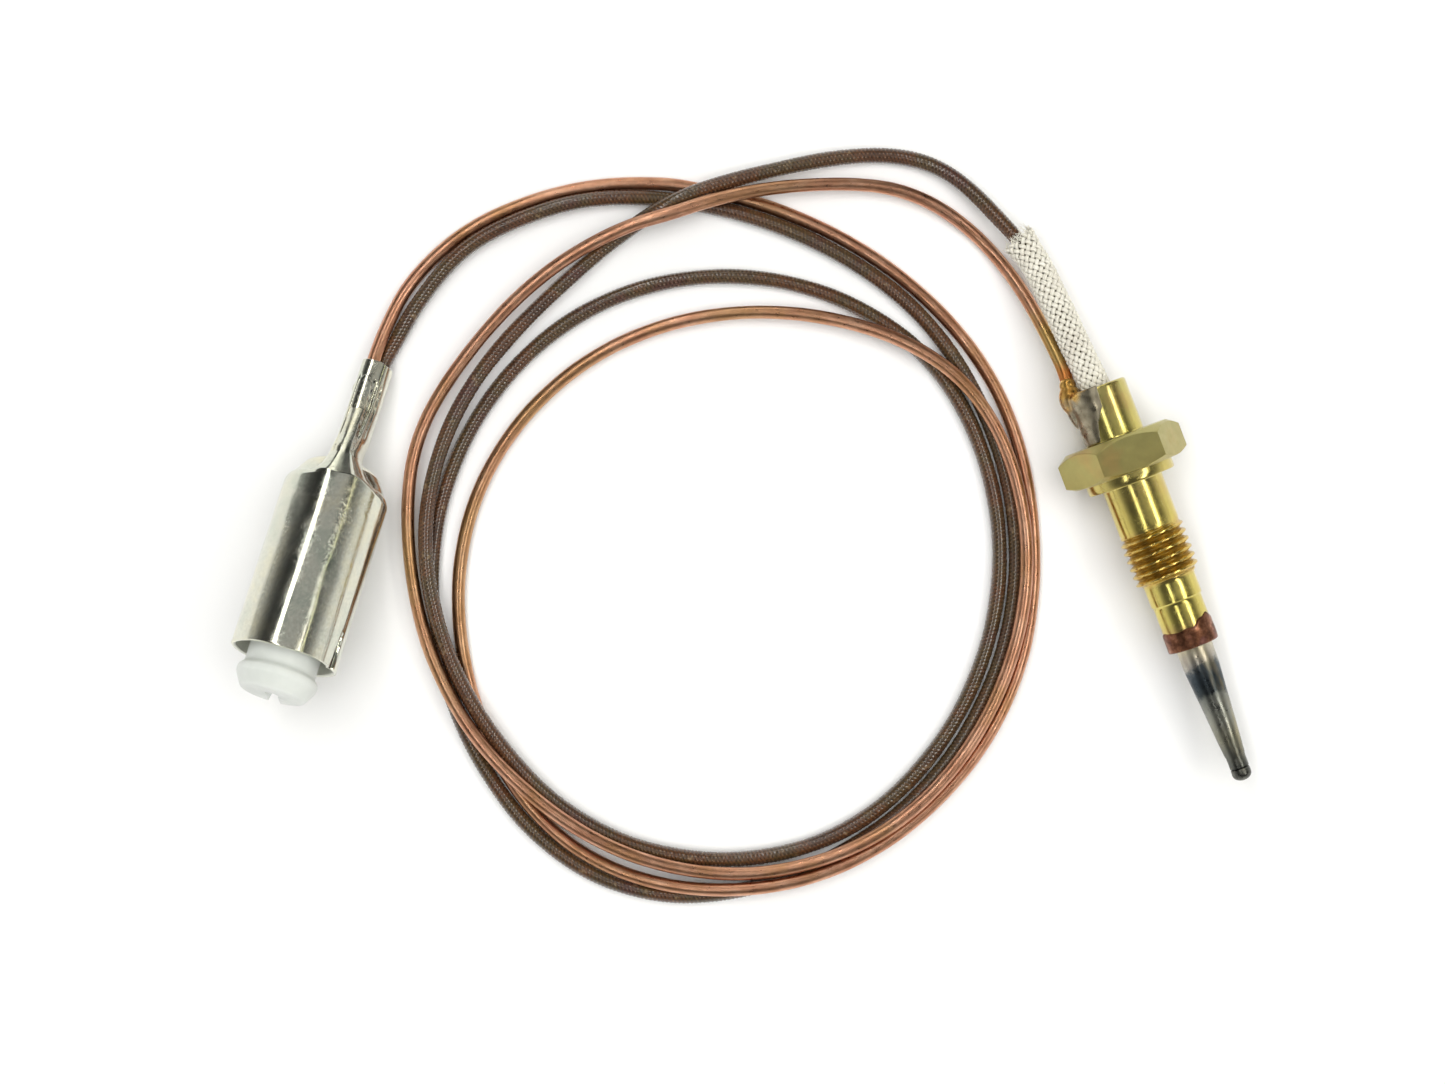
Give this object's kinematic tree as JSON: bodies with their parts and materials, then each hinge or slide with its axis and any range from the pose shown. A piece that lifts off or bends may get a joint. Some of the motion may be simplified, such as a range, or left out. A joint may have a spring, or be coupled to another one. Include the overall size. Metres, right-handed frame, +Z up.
{
  "type": "thermocouple",
  "caption": "Gas-hob flame sensor: turned brass head with a steel hot tip, two loose coiled leads, and a coaxial push-on connector with a slotted nylon end.",
  "frame": {"origin": "on the surface the part lies on, under the middle of the brass head (tube mouth to hot tip)", "axes": "+Z up, +Y along the head from its hot tip towards its tube mouth, +X to the side away from the coil"},
  "size_m": [0.0857, 0.0722, 0.0144],
  "materials": {
    "brass": "turned, satin",
    "copper_braze": "satin, heat-stained",
    "sheath_steel": "satin, heat-tinted",
    "weld_steel": "satin",
    "constantan": "drawn wire",
    "glass_fibre": "woven",
    "solder": "flowed, satin",
    "braze": "flowed, glossy",
    "copper": "drawn copper wire, bright",
    "braid_brown": "varnished glass braid",
    "glass_fibre_white": "knitted",
    "nickel": "nickel plate, polished",
    "nylon": "natural nylon, translucent",
    "contact_brass": "satin"
  },
  "bodies": {
    "root": {"brass_body": "brass", "braze_ring": "copper_braze", "hot_junction_sheath": "sheath_steel", "junction_weld": "weld_steel", "constantan_element": "constantan", "element_insulation": "glass_fibre", "solder_fillet": "solder", "lead_solder_bulb": "braze", "copper_return_lead": "copper", "insulated_lead": "braid_brown", "fibreglass_sleeve": "glass_fibre_white", "connector_shell": "nickel", "nylon_insulator": "nylon", "centre_contact": "contact_brass", "lead_core_end": "constantan"}
  },
  "joints": []
}
